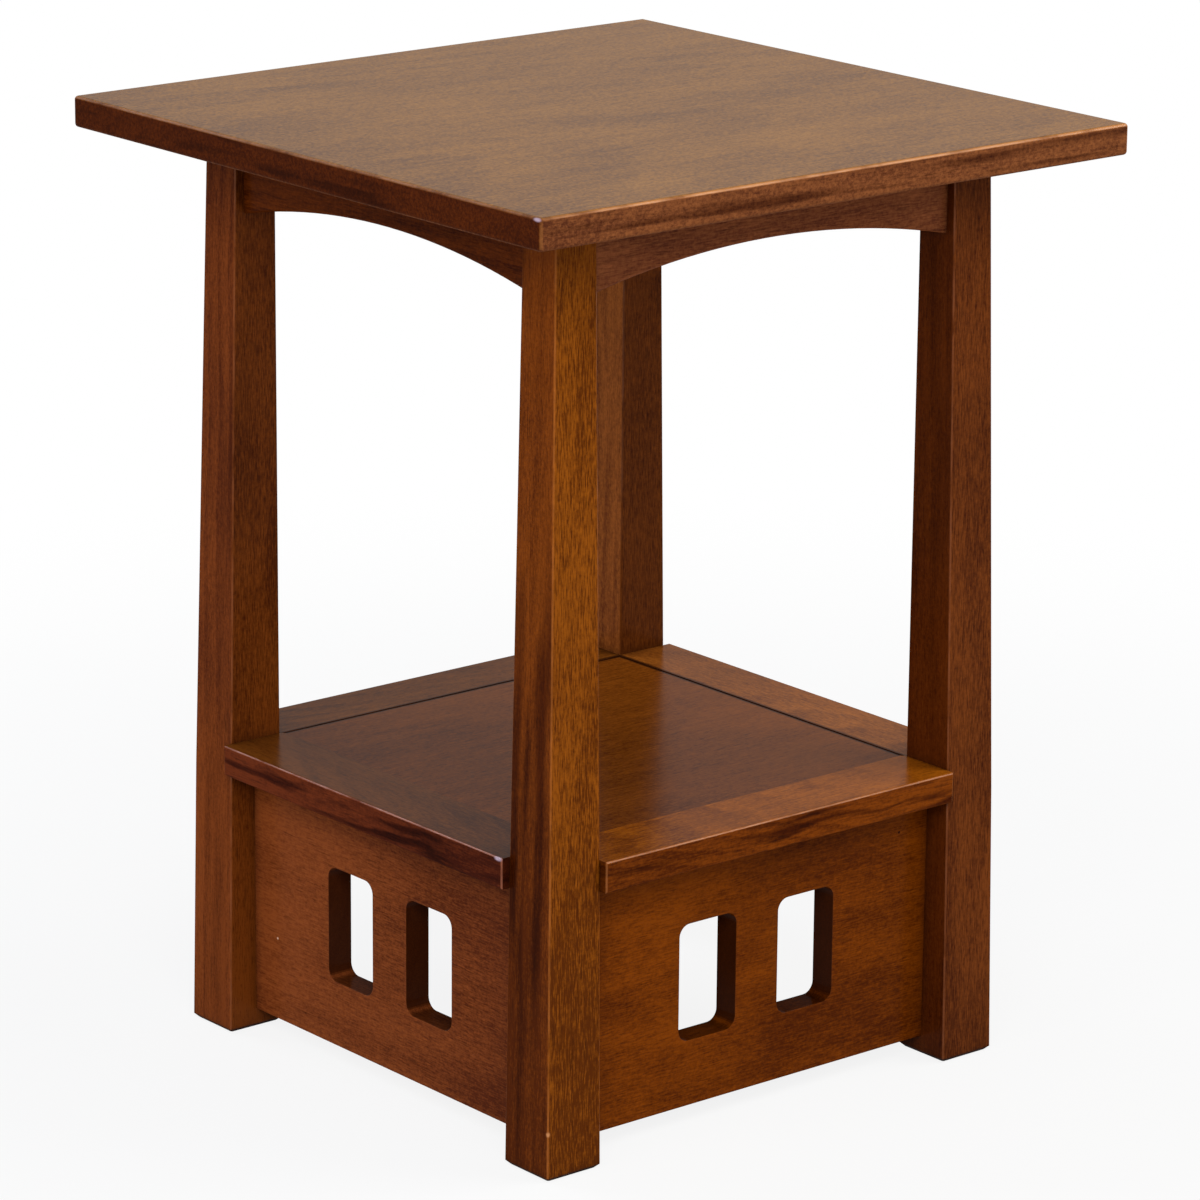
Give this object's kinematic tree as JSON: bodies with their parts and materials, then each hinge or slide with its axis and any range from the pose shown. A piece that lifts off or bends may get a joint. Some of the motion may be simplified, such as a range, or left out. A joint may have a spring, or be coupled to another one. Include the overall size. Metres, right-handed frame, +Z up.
{
  "type": "end table",
  "caption": "Square end table with an overhanging top, tapered legs, arched aprons and a low bordered shelf above pierced panels.",
  "frame": {"origin": "on the floor, under the middle of the top", "axes": "+Z up; the front, with one of the two window panels, faces -Y, and the left side, with the other, faces -X"},
  "size_m": [0.467, 0.467, 0.612],
  "materials": {
    "top_wood": "brown stained hardwood, satin lacquer",
    "leg_wood": "brown stained hardwood, satin lacquer",
    "apron_wood": "brown stained hardwood, satin lacquer",
    "skirt_wood": "brown stained hardwood, satin lacquer",
    "shelf_wood": "brown stained hardwood, satin lacquer",
    "border_wood": "brown stained hardwood, satin lacquer",
    "hidden_wood": "unstained softwood",
    "screw_steel": "zinc-plated steel"
  },
  "bodies": {
    "root": {"table_top": "top_wood", "shelf_panel": "shelf_wood", "leg_front_left": "leg_wood", "leg_front_right": "leg_wood", "leg_back_right": "leg_wood", "leg_back_left": "leg_wood", "apron_front": "apron_wood", "apron_right": "apron_wood", "apron_back": "apron_wood", "apron_left": "apron_wood", "window_panel_front": "skirt_wood", "window_panel_left": "skirt_wood", "shelf_rail_right": "skirt_wood", "shelf_rail_back": "skirt_wood", "shelf_border_front": "border_wood", "shelf_border_right": "border_wood", "shelf_border_back": "border_wood", "shelf_border_left": "border_wood", "corner_block_front_left": "hidden_wood", "corner_block_front_right": "hidden_wood", "corner_block_back_right": "hidden_wood", "corner_block_back_left": "hidden_wood", "shelf_cleat_front": "hidden_wood", "shelf_cleat_right": "hidden_wood", "shelf_cleat_back": "hidden_wood", "shelf_cleat_left": "hidden_wood", "top_screws": "screw_steel", "shelf_screws": "screw_steel"}
  },
  "joints": []
}
